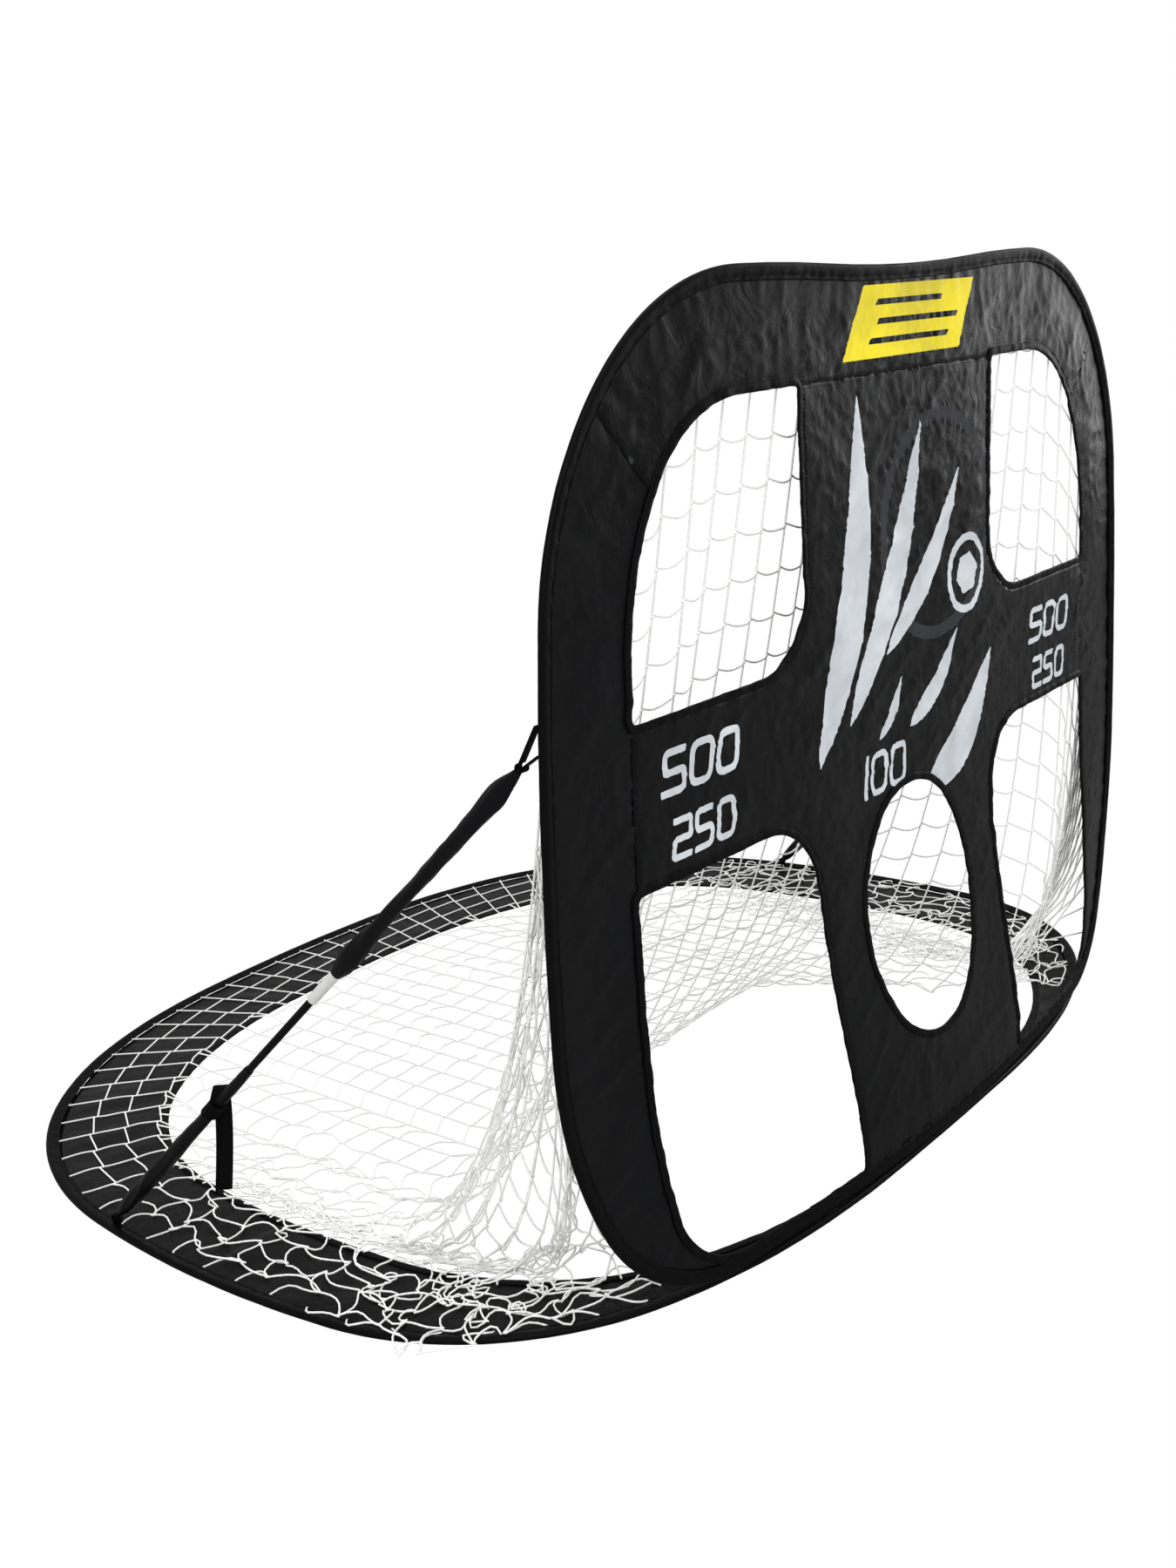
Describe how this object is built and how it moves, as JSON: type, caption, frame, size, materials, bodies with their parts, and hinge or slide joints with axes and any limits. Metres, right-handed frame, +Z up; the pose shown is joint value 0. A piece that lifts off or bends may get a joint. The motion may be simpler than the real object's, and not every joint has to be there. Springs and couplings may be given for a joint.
{
  "type": "pop-up target goal",
  "caption": "Folding pop-up practice goal: sprung floor hoop and upright hoop, target cloth with five holes, slack net and jointed side poles.",
  "frame": {"origin": "middle of the footprint on the floor, under the middle of the bounding box", "axes": "+X along the goal mouth to the right seen from the front, the mouth looks along -Y, +Z up"},
  "size_m": [1.41, 1.1587, 0.972],
  "materials": {
    "black_cloth": "thin woven polyester, satin sheen",
    "white_net": "twisted cord",
    "spring_steel": "flat oil-tempered strip",
    "black_rod": "pultruded rod, satin",
    "silver_ferrule": "rolled steel tube",
    "black_webbing": "ribbed webbing"
  },
  "bodies": {
    "base": {"base_hoop_spring": "spring_steel", "base_hoop_splice": "spring_steel", "base_sleeve": "black_cloth", "floor_border": "black_cloth", "net_skirt": "white_net", "net_canopy": "white_net", "pole_lower_tab_left": "black_webbing", "pole_lower_tab_right": "black_webbing"},
    "face": {"face_hoop_spring": "spring_steel", "face_hoop_splice": "spring_steel", "face_sleeve": "black_cloth", "top_border": "black_cloth", "side_border_left": "black_cloth", "side_border_right": "black_cloth", "target_cloth": "black_cloth", "pole_upper_tab_left": "black_webbing", "pole_upper_tab_right": "black_webbing"},
    "pole_upper_left": {"pole_upper_sleeve_left": "black_cloth", "pole_upper_rod_left": "black_rod", "pole_ferrule_left": "silver_ferrule"},
    "pole_lower_left": {"pole_lower_rod_left": "black_rod", "pole_pocket_left": "black_cloth", "pole_strap_left": "black_webbing", "pole_strap_tail_left": "black_webbing"},
    "pole_upper_right": {"pole_upper_sleeve_right": "black_cloth", "pole_upper_rod_right": "black_rod", "pole_ferrule_right": "silver_ferrule"},
    "pole_lower_right": {"pole_lower_rod_right": "black_rod", "pole_pocket_right": "black_cloth", "pole_strap_right": "black_webbing", "pole_strap_tail_right": "black_webbing"}
  },
  "joints": [
    {"name": "face_fold", "type": "hinge", "parent": "base", "child": "face", "pos_m": [0, -0.526, 0.00715], "axis": [-1, 0, 0], "range_deg": [0, 72], "deforming": ["net_canopy"]},
    {"name": "pole_upper_fold_left", "type": "hinge", "parent": "face", "child": "pole_upper_left", "pos_m": [-0.59425, -0.49092, 0.574], "axis": [1, 0, 0], "range_deg": [0, 115.2]},
    {"name": "pole_lower_fold_left", "type": "hinge", "parent": "base", "child": "pole_lower_left", "pos_m": [-0.68242, 0.099, 0.014], "axis": [1, 0, 0], "range_deg": [0, 39.6], "deforming": ["pole_strap_tail_left"]},
    {"name": "pole_upper_fold_right", "type": "hinge", "parent": "face", "child": "pole_upper_right", "pos_m": [0.59425, -0.49092, 0.574], "axis": [1, 0, 0], "range_deg": [0, 115.2]},
    {"name": "pole_lower_fold_right", "type": "hinge", "parent": "base", "child": "pole_lower_right", "pos_m": [0.68242, 0.099, 0.014], "axis": [1, 0, 0], "range_deg": [0, 39.6], "deforming": ["pole_strap_tail_right"]}
  ],
  "couplings": [
    {"joint": "pole_upper_fold_left", "follows": "face_fold", "ratio": 1.6},
    {"joint": "pole_lower_fold_left", "follows": "face_fold", "ratio": 0.55},
    {"joint": "pole_upper_fold_right", "follows": "face_fold", "ratio": 1.6},
    {"joint": "pole_lower_fold_right", "follows": "face_fold", "ratio": 0.55}
  ]
}
